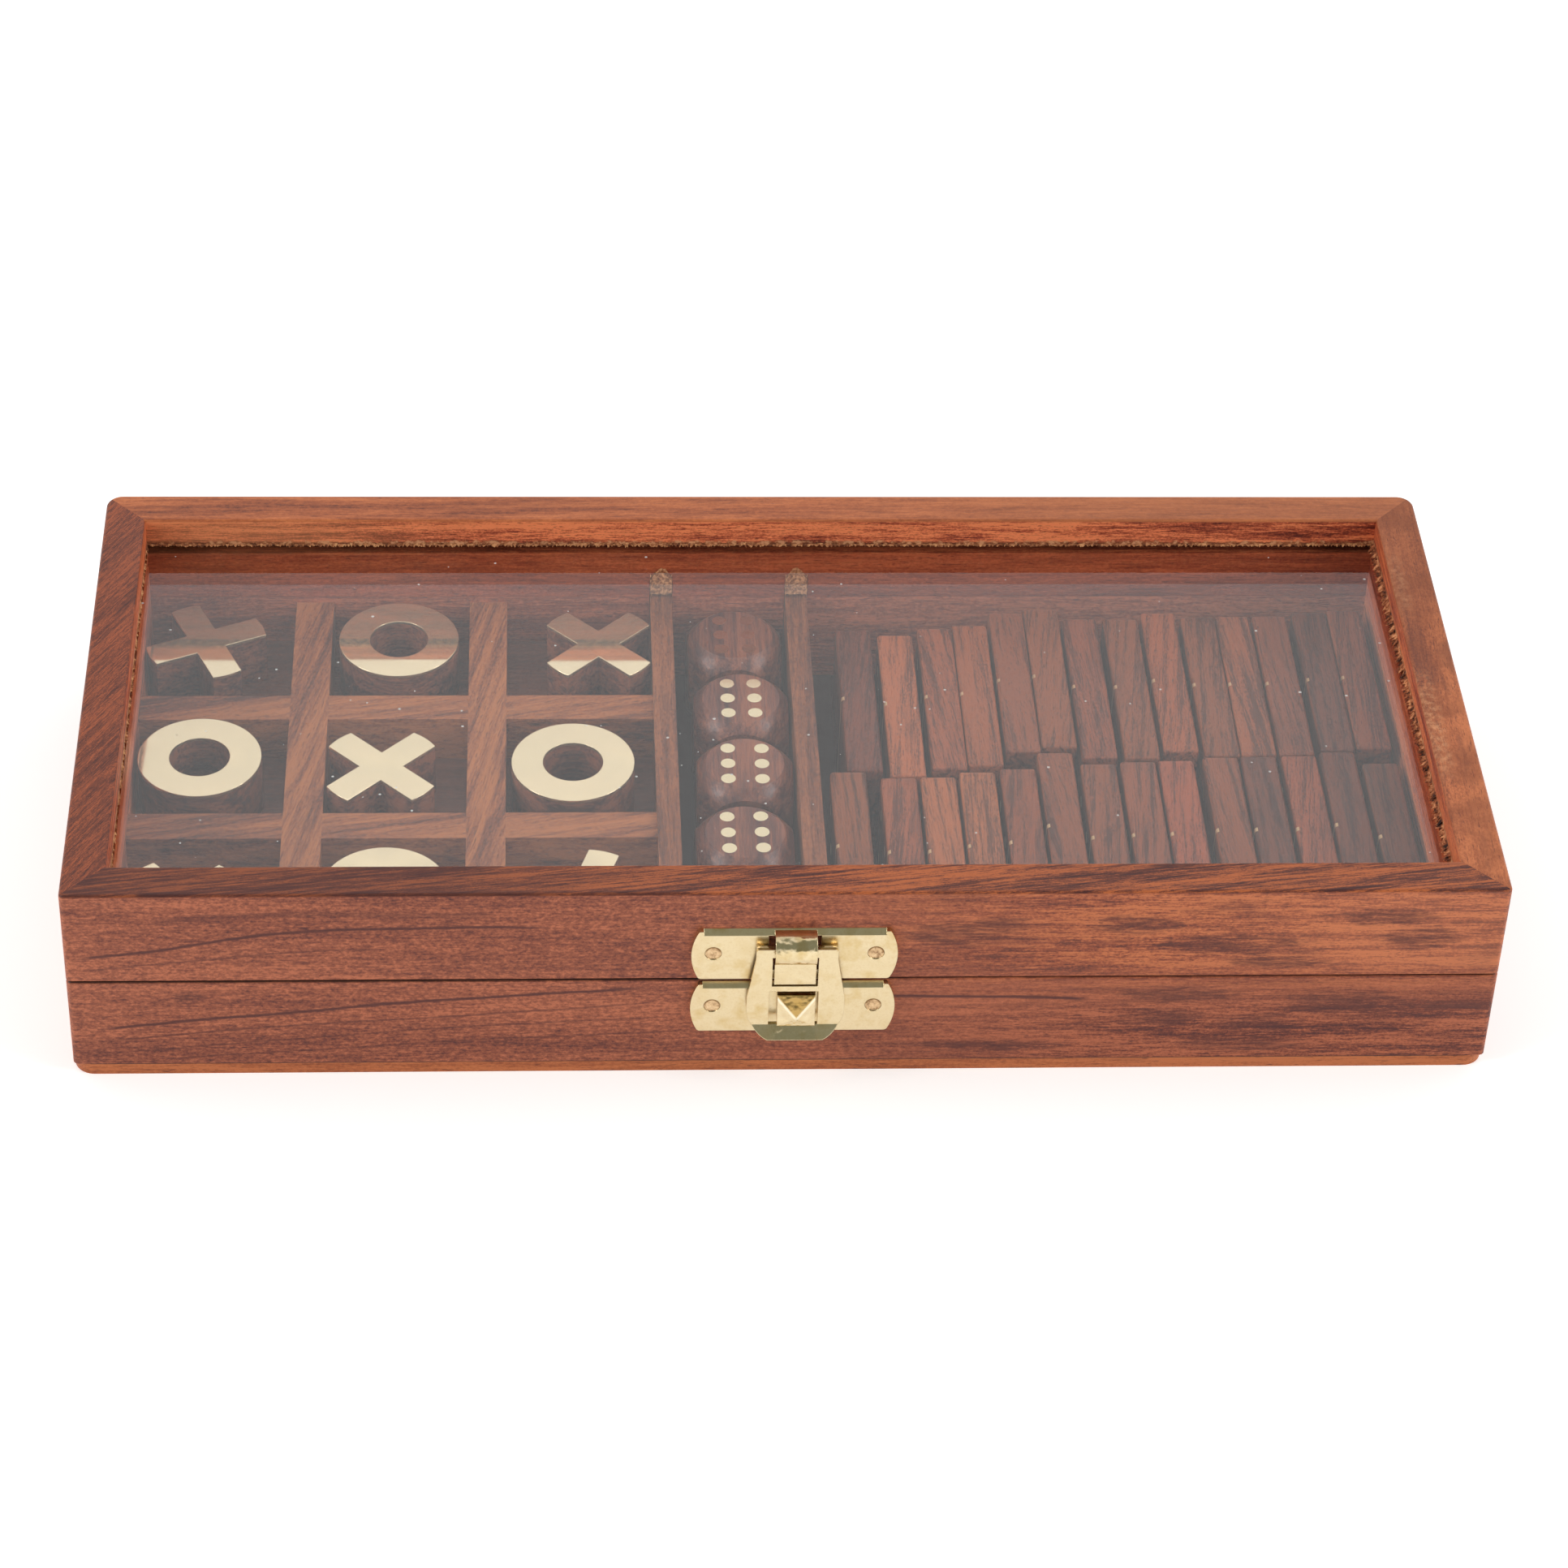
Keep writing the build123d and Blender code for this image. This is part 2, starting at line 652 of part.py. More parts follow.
def make_catch_base_plate():
    """Lower plate, with the faceted knob that the flap's window drops over."""
    plate = catch_plate(base_plate_z)
    x = catch_x + knob_shift
    back = catch_plate_stand - catch_sheet
    low, high = window_bottom + knob_play, window_top - 2 * knob_play
    half = knob_width / 2

    def spot(side, out, z):
        return (x + side * half, front_y - out, z)

    heel = [spot(s, back, low) for s in (-1, 1)]
    nape = [spot(s, back, high) for s in (-1, 1)]
    brow = [spot(s, knob_brow_out, high) for s in (-1, 1)]
    chin = [spot(s, knob_shoulder_out, low + knob_play / 2) for s in (-1, 1)]
    apex = spot(0, knob_out, low + knob_apex_rise)
    knob = polyhedron(
        (heel[0], heel[1], nape[1], nape[0]),
        (nape[0], nape[1], brow[1], brow[0]),
        (heel[0], heel[1], chin[1], chin[0]),
        (brow[0], brow[1], apex),
        (brow[0], apex, chin[0]),
        (brow[1], apex, chin[1]),
        (chin[0], chin[1], apex),
        (heel[0], nape[0], brow[0], chin[0]),
        (heel[1], nape[1], brow[1], chin[1]),
    )
    knob -= block(
        x - half + catch_sheet,
        x + half - catch_sheet,
        front_y - knob_brow_out + catch_sheet,
        front_y - catch_plate_stand,
        high - knob_pocket,
        high,
    )
    plate += knob
    plate -= nail_seats(front_nail_places(base_plate_z))
    save("catch_base_plate", plate)


# ------------------------------------------------------------------ hinges
def hinge_leaf(x, upper):
    """One leaf with its knuckles: the base leaf has the two outer ones, the lid leaf the middle."""
    side = 1 if upper else -1
    near = hinge_axis_z + side * (hinge_knuckle / 2 + hinge_leaf_gap)
    far = hinge_axis_z + side * (hinge_leaf_height + hinge_leaf_gap)
    half, third = hinge_length / 2, hinge_length / 3
    sheet = (back_y, back_y + hinge_leaf_sheet)
    leaf = block(x - half, x + half, *sheet, min(near, far), max(near, far))
    spans = [(-third / 2, third / 2)] if upper else [(-half, -third / 2), (third / 2, half)]
    for start, end in spans:
        start += hinge_knuckle_gap / 2
        end -= hinge_knuckle_gap / 2
        leaf += block(x + start, x + end, *sheet, min(near, hinge_axis_z), max(near, hinge_axis_z))
        barrel = Cylinder(hinge_knuckle / 2, end - start)
        leaf += Pos(x + (start + end) / 2, hinge_axis_y, hinge_axis_z) * Rot(0, 90, 0) * barrel
    bore = Cylinder(hinge_pin / 2 + hinge_pin_play, 2 * hinge_length)
    leaf -= Pos(x, hinge_axis_y, hinge_axis_z) * Rot(0, 90, 0) * bore
    return leaf


def make_hinges():
    """Two surface-mounted butt hinges on the back."""
    places = (-hinge_spacing / 2, hinge_spacing / 2)
    for name, upper in (("base", False), ("lid", True)):
        seats = nail_seats(hinge_nail_places(upper))
        save(f"hinge_{name}_leaves", *[hinge_leaf(x, upper) - seats for x in places])
    pin = Rot(0, 90, 0) * Cylinder(hinge_pin / 2, hinge_length)
    save("hinge_pins", *[Pos(x, hinge_axis_y, hinge_axis_z) * pin for x in places])


# ------------------------------------------------------------------ build
os.makedirs("parts", exist_ok=True)
make_base()
make_lid()
make_dividers()
make_grid()
make_marks()
make_dice()
make_dominoes()
make_nails()
make_catch_lid_plate()
make_catch_flap()
make_catch_base_plate()
make_hinges()
print(f"box {box_length:.1f} x {box_depth:.1f} x {lid_top:.1f} mm")
print(f"lid axis y {hinge_axis_y:.3f} z {hinge_axis_z:.3f}")
print(f"flap axis y {front_y - flap_axis_out:.3f} z {flap_axis_z:.3f}")
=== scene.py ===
import bpy
import math
import random
from mathutils import Matrix, Vector

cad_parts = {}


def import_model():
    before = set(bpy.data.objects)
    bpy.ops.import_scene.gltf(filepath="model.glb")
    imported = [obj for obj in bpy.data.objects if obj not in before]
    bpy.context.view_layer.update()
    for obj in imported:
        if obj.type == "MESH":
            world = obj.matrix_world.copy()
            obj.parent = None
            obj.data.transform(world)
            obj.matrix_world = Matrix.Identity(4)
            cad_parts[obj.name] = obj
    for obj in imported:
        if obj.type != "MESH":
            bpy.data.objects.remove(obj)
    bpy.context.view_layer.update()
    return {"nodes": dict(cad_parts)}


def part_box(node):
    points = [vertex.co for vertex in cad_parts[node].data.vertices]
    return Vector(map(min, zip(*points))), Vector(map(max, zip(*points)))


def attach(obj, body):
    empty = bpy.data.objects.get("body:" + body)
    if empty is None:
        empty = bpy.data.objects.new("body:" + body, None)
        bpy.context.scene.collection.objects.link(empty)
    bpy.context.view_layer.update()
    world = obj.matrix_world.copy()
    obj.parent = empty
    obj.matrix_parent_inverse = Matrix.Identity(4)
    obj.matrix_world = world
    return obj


# Looks of a games compendium box: oiled rosewood, a glass pane in a rough saw kerf,
# polished brass faces on the playing pieces and a stamped brass catch.
# Metres, in the frame of the solids: +X to the right, +Y to the back, +Z up.

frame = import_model()
nodes = frame["nodes"]
MM = 0.001

# Places on the box, in millimetres.
TOP = (33.1, 33.4)                  # from a rail's sides to its top face
END_INNER = (97.5, 97.0)            # from an end rail's outer half to its inner half
LONG_INNER = (44.0, 43.5)           # the same in the front and back rails
SEAM = 17.55                        # the saw gap between lid and base
LIP = 28.8                          # the torn upper edge of the kerf that holds the glass
GROOVES = (-16.15, 5.05)            # middles of the divider grooves in the lid's back rail


# ------------------------------------------------------------------ colours and nodes
def srgb(red, green, blue):
    """A screen colour, 0 to 255 per channel, as linear light."""
    shares = (red / 255, green / 255, blue / 255)
    linear = [v / 12.92 if v <= 0.04045 else ((v + 0.055) / 1.055) ** 2.4 for v in shares]
    return (*linear, 1.0)


class Look:
    """A material and short names for the nodes in it."""

    def __init__(self, name, tree=None):
        if tree is None:
            self.material = bpy.data.materials.new(name)
            self.material.use_nodes = True
            tree = self.material.node_tree
        self.nodes, self.links = tree.nodes, tree.links
        self.nodes.clear()

    def add(self, kind, inputs=None, out=0, **settings):
        """Adds a node, fills its inputs with values or links, and returns one of its outputs."""
        node = self.nodes.new("ShaderNode" + kind)
        for key, value in settings.items():
            setattr(node, key, value)
        for key, value in (inputs or {}).items():
            if isinstance(value, bpy.types.NodeSocket):
                self.links.new(value, node.inputs[key])
            else:
                node.inputs[key].default_value = value
        return node.outputs[out] if node.outputs else None

    def here(self):
        """The place of the spot that is shaded, in metres."""
        return self.add("TexCoord", out="Object")

    def parts(self, space):
        """The X, Y and Z of a vector, as three outputs."""
        return self.add("SeparateXYZ", {0: space}).node.outputs

    def math(self, operation, a, b=0.0):
        return self.add("Math", {0: a, 1: b}, operation=operation)

    def times(self, a, b):
        return self.math("MULTIPLY", a, b)

    def plus(self, a, b):
        return self.math("ADD", a, b)

    def minus(self, a, b):
        return self.math("SUBTRACT", a, b)

    def larger(self, a, b):
        return self.math("MAXIMUM", a, b)

    def size(self, a):
        return self.math("ABSOLUTE", a)

    def away(self, a, middle):
        """How far a value is from the middle, on either side."""
        return self.size(self.minus(a, middle))

    def line(self, value, slope, start):
        """slope times the value, plus start."""
        return self.add("Math", {0: value, 1: slope, 2: start}, operation="MULTIPLY_ADD")

    def vector(self, operation, a, b=(0, 0, 0)):
        return self.add("VectorMath", {0: a, 1: b}, operation=operation)

    def mix(self, share, a, b, blend="MIX"):
        return self.add("Mix", {0: share, 6: a, 7: b}, out=2, data_type="RGBA", blend_type=blend)

    def ramp(self, value, *stops):
        """A colour ramp through (position, colour) stops."""
        output = self.add("ValToRGB", {0: value})
        elements = output.node.color_ramp.elements
        while len(elements) < len(stops):
            elements.new(0.5)
        for element, (position, colour) in zip(elements, stops):
            element.position = position
            element.color = colour
        return output

    def stairs(self, value, *stops):
        """A ramp whose colours don't blend."""
        output = self.ramp(value, *stops)
        output.node.color_ramp.interpolation = "CONSTANT"
        return output

    def step(self, value, start, end):
        """0 before start, 1 beyond end, smooth between, in millimetres; start may lie above end."""
        return self.fade(value, start * MM, end * MM)

    def fade(self, value, start, end):
        """The same step for a value that isn't a length."""
        low, high, to = (start, end, (0.0, 1.0)) if start < end else (end, start, (1.0, 0.0))
        return self.add(
            "MapRange",
            {0: value, 1: low, 2: high, 3: to[0], 4: to[1]},
            interpolation_type="SMOOTHSTEP",
        )

    def noise(self, space, along, across, seed, detail=3.0, rough=0.6, distort=0.0):
        """Noise drawn out along X: along and across are periods per metre."""
        place = self.vector("MULTIPLY", space, (along, across, across))
        place = self.vector("ADD", place, (seed, seed * 1.7, seed * 0.6))
        return self.add(
            "TexNoise",
            {
                "Vector": place,
                "Scale": 1.0,
                "Detail": detail,
                "Roughness": rough,
                "Distortion": distort,
            },
        )

    def flecks(self, space, scale, detail=3.0, rough=0.5):
        """Noise that is alike in all directions."""
        inputs = {"Vector": space, "Scale": scale, "Detail": detail, "Roughness": rough}
        return self.add("TexNoise", inputs)

    def surface(
        self, colour, roughness, height=None, bump=0.0, metal=0.0, rounding=0.0, normal=None
    ):
        """Ends the material in one shader; rounding softens the edges to that many millimetres."""
        inputs = {"Base Color": colour, "Roughness": roughness, "Metallic": metal}
        inputs["Specular IOR Level"] = 0.5 if metal else 0.3
        if height is not None:
            normal = self.add("Bump", {"Height": height, "Strength": bump, "Distance": 0.1 * MM})
        if rounding:
            softened = {"Radius": rounding * MM}
            if normal is not None:
                softened["Normal"] = normal
            normal = self.add("Bevel", softened, samples=6)
        if normal is not None:
            inputs["Normal"] = normal
        self.finish(self.add("BsdfPrincipled", inputs))
        return self.material

    def finish(self, shader):
        self.add("OutputMaterial", {"Surface": shader})


def dress(material, *names):
    """Gives CAD nodes a material."""
    for name in names:
        mesh = nodes[name].data
        mesh.materials.clear()
        mesh.materials.append(material)


# ------------------------------------------------------------------ wood
GRAIN_BUMP = 0.3
BACK_SEED, SIDE_SEED = 12, 71       # boards that lid and base share


def tones(light, middle, dark, line):
    """The palette of one wood in screen colours, from its pale streaks to its growth lines."""
    return dict(light=srgb(*light), middle=srgb(*middle), dark=srgb(*dark), line=srgb(*line))


RED = tones((190, 108, 76), (152, 82, 58), (122, 62, 48), (84, 44, 42))
LEFT = tones((198, 116, 84), (160, 90, 66), (130, 70, 55), (88, 48, 46))
DEEP = tones((192, 104, 58), (136, 72, 48), (102, 53, 40), (66, 34, 34))
SIDE = tones((172, 88, 52), (128, 66, 44), (98, 50, 38), (64, 34, 32))
LIP_WOOD = tones((248, 142, 92), (208, 106, 70), (166, 76, 50), (98, 42, 32))
INNER = tones((182, 94, 62), (150, 75, 51), (124, 59, 44), (86, 43, 38))
TAN = tones((210, 122, 78), (176, 96, 64), (142, 72, 52), (90, 48, 42))
BACK = tones((204, 120, 74), (182, 102, 62), (156, 84, 52), (110, 58, 42))
ORANGE = tones((224, 124, 76), (196, 98, 62), (164, 74, 48), (100, 44, 34))
PLUM = tones((140, 82, 58), (108, 62, 48), (82, 46, 40), (50, 30, 32))
RAIL = tones((170, 104, 62), (146, 86, 54), (118, 66, 44), (78, 44, 34))
DIVIDER = tones((152, 92, 58), (126, 74, 48), (98, 56, 40), (66, 38, 32))
DUSK = tones((128, 76, 54), (106, 62, 46), (88, 52, 40), (62, 38, 32))
WELL_DARK = tones((64, 56, 50), (52, 46, 42), (42, 38, 36), (30, 28, 28))
GREY = dict(                        # multiplies the colours of the dominoes
    light=(1, 0.97, 0.9, 1),
    middle=(0.8, 0.8, 0.8, 1),
    dark=(0.56, 0.57, 0.6, 1),
    line=(0.3, 0.3, 0.36, 1),
)


def turned(look, space, turn):
    """Coordinates turned by three angles in degrees."""
    angles = [math.radians(a) for a in turn]
    return look.add("Mapping", {"Vector": space, "Rotation": angles}, vector_type="POINT")


def grain_space(look, turn=(0, 0, 0)):
    """The places on a board, turned so that its grain runs along X."""
    return turned(look, look.here(), turn)


def wood_colour(
    look, space, palette, seed,
    broad=1.0, streak=1.0, fibre=1.0, speck=1.0, pores=0.7, cloud=0.3, bend=3.0, fine=1.0,
):
    """Colour and height of one board: bands, streaks, fibres, specks, pores and dark clouds."""
    if fine != 1.0:
        space = look.vector("MULTIPLY", space, (fine, fine, fine))
    warp = look.noise(space, 14, 45, seed + 3, 2.0, 0.5)
    warp = look.times(look.minus(warp, 0.5), bend * MM)
    flow = look.vector("ADD", space, look.add("CombineXYZ", {1: warp, 2: warp}))
    bands = look.noise(flow, 9, 130, seed)
    streaks = look.noise(flow, 34, 760, seed + 5, 4.0, 0.62)
    fibres = look.noise(flow, 260, 3300, seed + 9, 3.0, 0.65)
    specks = look.noise(space, 1500, 2300, seed + 11, 2.0, 0.75)
    clouds = look.noise(flow, 42, 170, seed + 13, 4.0)
    tone = 0.5
    layers = ((bands, broad), (streaks, streak), (fibres, 0.55 * fibre), (specks, 0.5 * speck))
    for layer, weight in layers:
        tone = look.plus(look.times(look.minus(layer, 0.5), weight), tone)
    colour = look.ramp(
        tone,
        (0.22, palette["line"]),
        (0.37, palette["dark"]),
        (0.5, palette["middle"]),
        (0.66, palette["light"]),
    )
    clouds = look.times(look.fade(clouds, 0.55, 0.68), cloud)
    colour = look.mix(clouds, colour, palette["line"])
    pore = look.fade(look.noise(flow, 520, 4600, seed + 17, 1.0, 0.5), 0.36, 0.28)
    colour = look.mix(look.times(pore, pores), colour, palette["line"])
    return colour, look.minus(fibres, pore)


def wood(name, palette, turn=(0, 0, 0), seed=0.0, roughness=0.45, **grain):
    """A board of one kind of wood."""
    look = Look(name)
    colour, height = wood_colour(look, grain_space(look, turn), palette, seed, **grain)
    return look.surface(colour, roughness, height, GRAIN_BUMP)


def torn_edge(look, colour, high=1.5):
    """The lowest part of a rail's inner face, above the kerf: broken fibres, pale and dark."""
    here = look.here()
    x, y, z = look.parts(here)
    inner = look.step(look.size(x), *END_INNER)
    inner = look.times(inner, look.step(look.size(y), *LONG_INNER))
    ragged = look.flecks(here, 900.0, 3.0, 0.65)
    reach = look.minus(z, look.times(ragged, high * MM))
    near = look.times(look.step(reach, LIP + 0.15, LIP - 0.2), look.step(z, LIP - 0.1, LIP - 0.05))
    root, fibre, tip = srgb(52, 28, 18), srgb(150, 92, 58), srgb(214, 156, 112)
    torn = look.ramp(ragged, (0.4, root), (0.5, fibre), (0.62, tip))
    return look.mix(look.times(look.times(near, inner), 0.85), colour, torn)


def rail_side(look):
    """The sides of an end rail: orange inside the frame, outside the board of the wall below."""
    space = grain_space(look, (0, 0, -90))
    lip, height = wood_colour(look, space, ORANGE, SIDE_SEED)
    outer, _ = wood_colour(look, space, TAN, SIDE_SEED)
    x = look.parts(look.here())[0]
    return look.mix(look.step(look.size(x), END_INNER[0], 98.0), lip, outer), height


def left_rail():
    """The left rail: dark on top, with fine grain that runs aslant."""
    look = Look("left_rosewood")
    fine = dict(streak=0.7, fibre=1.6, broad=0.35, speck=1.2, cloud=0.35, bend=1.5, fine=2.6)
    top, _ = wood_colour(look, grain_space(look, (0, 0, -60)), SIDE, 21.0, **fine)
    side, height = rail_side(look)
    z = look.parts(look.here())[2]
    colour = torn_edge(look, look.mix(look.step(z, *TOP), side, top))
    return look.surface(colour, 0.42, height, GRAIN_BUMP)


def growth_line(look, x, z, points, width, depth):
    """A thin dark line on the front board through (x, z) points, fading at its ends."""
    first, last = points[0][0], points[-1][0]
    share = look.add("MapRange", {0: x, 1: first * MM, 2: last * MM, 3: 0.0, 4: 1.0})
    curve = look.add("FloatCurve", {1: share})
    line = curve.node.mapping.curves[0]
    low, span = points[0][1], 20.0
    while len(line.points) < len(points):
        line.points.new(0.5, 0.5)
    for spot, (px, pz) in zip(line.points, points):
        spot.location = ((px - first) / (last - first), 0.5 + (pz - low) / span)
    curve.node.mapping.update()
    foot, head = (low - span / 2) * MM, (low + span / 2) * MM
    middle = look.add("MapRange", {0: curve, 1: 0.0, 2: 1.0, 3: foot, 4: head})
    inside = look.step(look.away(z, middle), width, 0.15 * width)
    ends = look.times(look.fade(share, 0.0, 0.06), look.fade(share, 1.0, 0.9))
    return look.times(look.times(inside, ends), depth)


# Growth lines on the front: (x, z) points and half width in millimetres, and depth of colour.
FRONT_LINES = (
    (((-90, 28.6), (-80, 29.6), (-66, 30.2), (-52, 29.8), (-40, 30.0)), 0.9, 0.42),
    (((-101, 21.9), (-89, 23.5), (-74, 26.3), (-62, 27.2), (-50, 27.4), (-32, 27.4)), 0.45, 0.9),
    (((-100, 19.6), (-86, 21.2), (-70, 23.0), (-56, 23.6)), 0.3, 0.48),
    (
        ((-99, 8.4), (-85, 10.2), (-73, 11.3), (-61, 12.7), (-49, 13.8), (-32, 15.1), (-17, 16.0)),
        0.45,
        0.9,
    ),
    (((-98, 6.2), (-80, 8.2), (-60, 10.0), (-40, 11.4), (-18, 13.2)), 0.3, 0.58),
    (((-96, 4.2), (-78, 5.8), (-58, 7.8), (-38, 9.2), (-14, 10.6)), 0.26, 0.5),
    (((-90, 2.8), (-70, 4.2), (-50, 5.8), (-30, 7.0), (-12, 7.8)), 0.26, 0.5),
    (((14, 14.2), (24, 14.0), (34, 13.8), (44, 13.4)), 0.5, 0.9),
)
# Dark smudges on the front: middle x and z, half length and half height in millimetres.
FRONT_SMUDGES = (
    (24, 25.8, 9.0, 3.0),
    (30, 27.4, 6.0, 2.0),
    (49, 27.4, 8.0, 2.2),
    (62, 23.6, 12.0, 2.4),
    (70, 20.4, 9.0, 1.6),
    (85, 28.6, 8.0, 2.0),
    (90, 24.6, 7.0, 2.6),
    (56, 14.2, 10.0, 2.2),
    (54, 9.6, 8.0, 2.4),
    (68, 8.6, 8.0, 2.4),
    (80, 12.4, 12.0, 3.0),
    (66, 4.6, 12.0, 2.0),
    (30, 4.6, 12.0, 1.6),
    (-85, 14.8, 3.0, 1.4),
)


def front_board():
    """The front of lid and base: one board sawn apart, lined on the left, smudged on the right."""
    look = Look("front_rosewood")
    space = grain_space(look)
    x, y, z = look.parts(space)
    left = dict(broad=0.45, streak=0.35, fibre=0.9, speck=1.5, pores=0.4, cloud=0.08, bend=2.0)
    colour, height = wood_colour(look, space, LEFT, 3.0, **left)
    right = look.step(x, -20, 60)
    lively = dict(broad=0.7, streak=1.3, fibre=1.7, speck=1.5, pores=0.8, bend=2.0, fine=1.25)
    tan, _ = wood_colour(look, space, TAN, 7.0, **lively)
    colour = look.mix(look.times(right, look.step(z, 8, 22)), colour, tan)
    base, _ = wood_colour(look, space, RED, 9.0, **lively)
    colour = look.mix(look.times(right, look.step(z, 22, 8)), colour, base)
    pale = look.times(look.step(x, 40, 90), look.step(z, 17, 20))
    colour = look.mix(look.times(pale, 0.25), colour, srgb(214, 132, 96))
    rough = look.times(look.minus(look.noise(space, 90, 500, 19.0), 0.5), 2.2 * MM)
    wavy = look.plus(z, look.times(rough, 0.35))
    dark = 0.0                      # growth lines and smudges
    for points, width, depth in FRONT_LINES:
        dark = look.larger(growth_line(look, x, wavy, points, width, depth), dark)
    darkening = 0.0
    for middle_x, middle_z, long, high in FRONT_SMUDGES:
        across = look.math("DIVIDE", look.minus(x, middle_x * MM), long * MM)
        up = look.math("DIVIDE", look.minus(z, middle_z * MM), high * MM)
        away = look.plus(look.math("POWER", look.size(across), 2.0), look.times(up, up))
        darkening = look.larger(look.fade(away, 1.3, 0.0), darkening)
    torn = look.noise(space, 190, 1500, 29.0, 5.0, 0.75, 0.3)
    torn = look.plus(torn, look.times(darkening, 0.22))
    torn = look.times(look.fade(torn, 0.52, 0.82), look.fade(darkening, 0.0, 0.5))
    dark = look.larger(look.times(torn, 0.75), dark)
    colour = look.mix(dark, colour, RED["line"])
    # Painted shade: a dark, frayed line on the front face along the saw gap between lid and base.
    frayed = look.noise(space, 160, 160, 5.0)
    seam_shade = look.away(z, SEAM * MM)
    seam_shade = look.plus(seam_shade, look.times(look.step(x, -40, 40), 0.12 * MM))
    seam_shade = look.step(look.plus(seam_shade, look.times(frayed, 0.25 * MM)), 0.5, 0.22)
    seam_shade = look.times(seam_shade, look.step(y, -46.9, -47.3))
    colour = look.mix(look.times(seam_shade, 0.9), colour, srgb(34, 16, 14))
    space = grain_space(look, (0, 0, -8))
    lively = dict(broad=0.8, streak=1.5, fibre=1.7, bend=1.5, fine=2.4)
    top, _ = wood_colour(look, space, DEEP, 23.0, **lively)
    leftward = look.step(x, 0.0, -60)
    dusk = look.times(look.times(leftward, 0.75), look.noise(space, 70, 420, 33.0))
    top = look.mix(dusk, top, DEEP["line"])
    top = look.mix(look.line(leftward, 0.2, 0.12), top, DEEP["dark"])
    edge = look.times(look.step(y, -46.4, -47.2), look.step(x, 10, -40))
    edge = look.times(edge, look.fade(look.noise(space, 60, 60, 8.0), 0.35, 0.6))
    top = look.mix(look.times(edge, 0.75), top, DEEP["line"])
    colour = look.mix(look.step(z, *TOP), colour, top)
    return look.surface(colour, 0.45, height, GRAIN_BUMP)


def back_rail():
    """The back rail: smooth top, redder lip, and raw ends of the divider grooves inside."""
    look = Look("back_rosewood")
    space = grain_space(look)
    x, y, z = look.parts(space)
    plain = dict(broad=0.8, streak=0.7, fibre=0.9, speck=0.8, pores=0.4, cloud=0.2)
    top, height = wood_colour(look, space, BACK, 11.0, **plain)
    top = look.mix(look.times(look.step(x, 0.0, 60), 0.35), top, srgb(160, 96, 58))
    lively = dict(broad=0.9, streak=1.3, fibre=1.8, speck=1.2, cloud=0.15, fine=1.6)
    lip, _ = wood_colour(look, space, LIP_WOOD, 51.0, **lively)
    pale = look.times(look.step(x, -40, -80), 0.4)
    lip = look.mix(pale, lip, srgb(226, 152, 104))
    low, _ = wood_colour(look, space, INNER, 57.0, broad=0.5, streak=0.5)
    colour = look.mix(look.step(z, 25.5, 26.5), low, lip)
    outer, _ = wood_colour(look, space, RED, BACK_SEED, broad=0.5, streak=0.5)
    colour = look.mix(look.step(y, 44.5, 45.0), colour, outer)
    colour = torn_edge(look, look.mix(look.step(z, *TOP), colour, top))
    ragged = look.minus(look.noise(space, 900, 900, 2.0), 0.5)
    raw = 0.0
    for middle in GROOVES:
        away = look.plus(look.away(x, middle * MM), look.times(ragged, 2.2 * MM))
        raw = look.larger(look.step(away, 2.1, 1.6), raw)
    raw = look.times(raw, look.step(z, 23.2, 22.3))
    inside = look.times(look.step(y, 44.0, 43.6), look.step(y, 41.1, 41.3))
    raw = look.times(raw, inside)
    colour = look.mix(look.times(raw, 0.9), colour, srgb(214, 162, 116))
    return look.surface(colour, 0.42, height, GRAIN_BUMP)


def bottom_board():
    """The bottom panel: orange edges and underside, dark in the wells."""
    look = Look("panel_wood")
    space = grain_space(look)
    colour, height = wood_colour(look, space, BACK, 41.0, broad=0.7, streak=0.7)
    darkening, _ = wood_colour(look, space, WELL_DARK, 43.0, broad=0.3, streak=0.4, pores=0.3)
    # The top face inside the box, the floor of the wells, takes the darker, greyer palette.
    inside = look.step(look.parts(space)[2], 1.85, 1.95)
    return look.surface(look.mix(inside, colour, darkening), 0.5, height, GRAIN_BUMP)


def right_rail():
    """The right rail: mottled tan, with two patches rubbed pale and a hairline scratch."""
    look = Look("right_rosewood")
    space = grain_space(look, (0, 0, -88))
    here = look.here()
    x, y, z = look.parts(here)
    plain = dict(broad=0.7, streak=0.6, fibre=0.8, speck=1.4, pores=1.0, cloud=0.5, fine=1.3)
    top, height = wood_colour(look, space, BACK, 31.0, **plain)
    blotch = look.flecks(here, 95.0, 5.0, 0.65)
    top = look.mix(look.times(look.fade(blotch, 0.42, 0.66), 0.6), top, srgb(130, 66, 36))
    top = look.mix(look.times(look.step(y, -20, 40), 0.45), top, srgb(130, 68, 36))
    far = look.times(look.step(y, 14, 22), look.step(y, 36, 26))
    near = look.times(look.step(y, -26, -16), look.step(y, 6, -5))
    rub = look.plus(look.times(far, 0.5), near)
    rub = look.times(rub, look.step(x, 98.6, 97.0))
    chalk = look.flecks(here, 900.0, 5.0, 0.75)
    rub = look.times(rub, look.fade(chalk, 0.38, 0.72))
    top = look.mix(look.times(rub, 0.75), top, srgb(222, 160, 116))
    away = look.away(look.minus(x, look.times(y, -0.62)), 77.2 * MM)
    scratch = look.times(look.step(away, 0.16, 0.05), look.step(y, -27, -25))
    scratch = look.times(scratch, look.step(y, -19, -22))
    top = look.mix(look.times(scratch, 0.5), top, srgb(220, 180, 150))
    side, _ = rail_side(look)
    colour = torn_edge(look, look.mix(look.step(z, *TOP), side, top), 2.4)
    return look.surface(colour, look.line(rub, 0.25, 0.42), height, GRAIN_BUMP)


